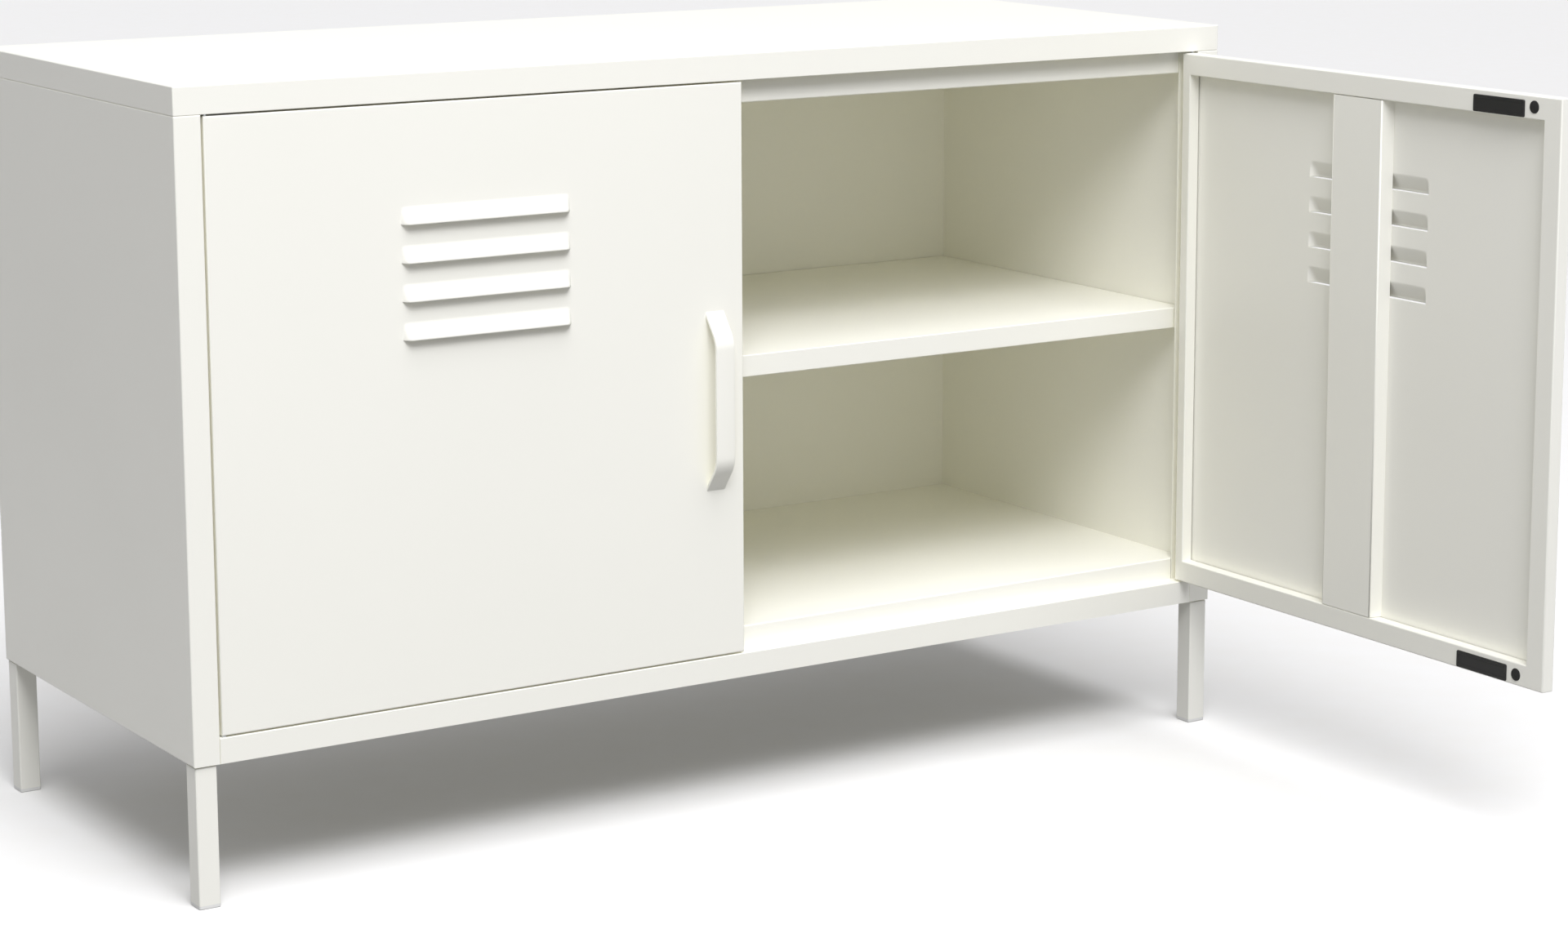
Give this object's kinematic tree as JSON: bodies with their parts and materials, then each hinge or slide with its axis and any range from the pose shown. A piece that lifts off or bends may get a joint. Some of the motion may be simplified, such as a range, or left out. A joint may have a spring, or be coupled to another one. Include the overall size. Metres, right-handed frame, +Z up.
{
  "type": "locker cabinet",
  "caption": "Low steel locker cabinet on square legs with two louvred hinged doors, bow handles and a full-width shelf.",
  "frame": {"origin": "on the floor, at the centre of the carcass footprint (1000 x 400 mm)", "axes": "+X to the right of a person facing the doors, +Y to the rear, so the doors face -Y, +Z up"},
  "size_m": [1, 0.8694, 0.6419],
  "materials": {
    "white_steel": "satin warm-white powder coat on sheet steel",
    "zinc_steel": "bright zinc plate",
    "foot_plastic": "moulded white polyethylene",
    "catch_plastic": "black moulded magnet housing",
    "bumper_rubber": "soft black bumper"
  },
  "bodies": {
    "cabinet": {"back_panel": "white_steel", "cap_screws": "zinc_steel", "cap_stiffener": "white_steel", "corner_gussets": "white_steel", "floor_bracket_left": "white_steel", "floor_bracket_right": "white_steel", "floor_pan": "white_steel", "floor_stiffener": "white_steel", "foot_front_left": "foot_plastic", "foot_front_right": "foot_plastic", "foot_rear_left": "foot_plastic", "foot_rear_right": "foot_plastic", "front_rail": "white_steel", "header_rail": "white_steel", "hinge_bracket_left": "zinc_steel", "hinge_bracket_right": "zinc_steel", "left_hinge_pin_lower": "zinc_steel", "left_hinge_pin_upper": "zinc_steel", "left_hinge_washer": "zinc_steel", "leg_bolts": "zinc_steel", "leg_front_left": "white_steel", "leg_front_right": "white_steel", "leg_rear_left": "white_steel", "leg_rear_right": "white_steel", "leg_washers": "zinc_steel", "right_hinge_pin_lower": "zinc_steel", "right_hinge_pin_upper": "zinc_steel", "right_hinge_washer": "zinc_steel", "shelf_bracket_left": "white_steel", "shelf_bracket_right": "white_steel", "side_liner_left": "white_steel", "side_liner_right": "white_steel", "side_panel_left": "white_steel", "side_panel_right": "white_steel", "top_cap": "white_steel"},
    "left_door": {"left_bumper_lower": "bumper_rubber", "left_bumper_upper": "bumper_rubber", "left_door_panel": "white_steel", "left_door_stiffener": "white_steel", "left_handle": "white_steel", "left_magnet_lower": "catch_plastic", "left_magnet_upper": "catch_plastic", "left_pivot_plate_lower": "zinc_steel", "left_pivot_plate_upper": "zinc_steel"},
    "right_door": {"right_bumper_lower": "bumper_rubber", "right_bumper_upper": "bumper_rubber", "right_door_panel": "white_steel", "right_door_stiffener": "white_steel", "right_handle": "white_steel", "right_magnet_lower": "catch_plastic", "right_magnet_upper": "catch_plastic", "right_pivot_plate_lower": "zinc_steel", "right_pivot_plate_upper": "zinc_steel"},
    "shelf": {"shelf": "white_steel", "shelf_stiffener": "white_steel"}
  },
  "joints": [
    {"name": "left_door_hinge", "type": "hinge", "parent": "cabinet", "child": "left_door", "pos_m": [-0.4735, -0.1966, 0.3775], "axis": [0, 0, -1], "range_deg": [0, 100]},
    {"name": "right_door_hinge", "type": "hinge", "parent": "cabinet", "child": "right_door", "pos_m": [0.4735, -0.1966, 0.3775], "axis": [0, 0, 1], "range_deg": [-90, 10]},
    {"name": "shelf_lift", "type": "slide", "parent": "cabinet", "child": "shelf", "axis": [0, 0, 1], "range_m": [0, 0.02]}
  ]
}
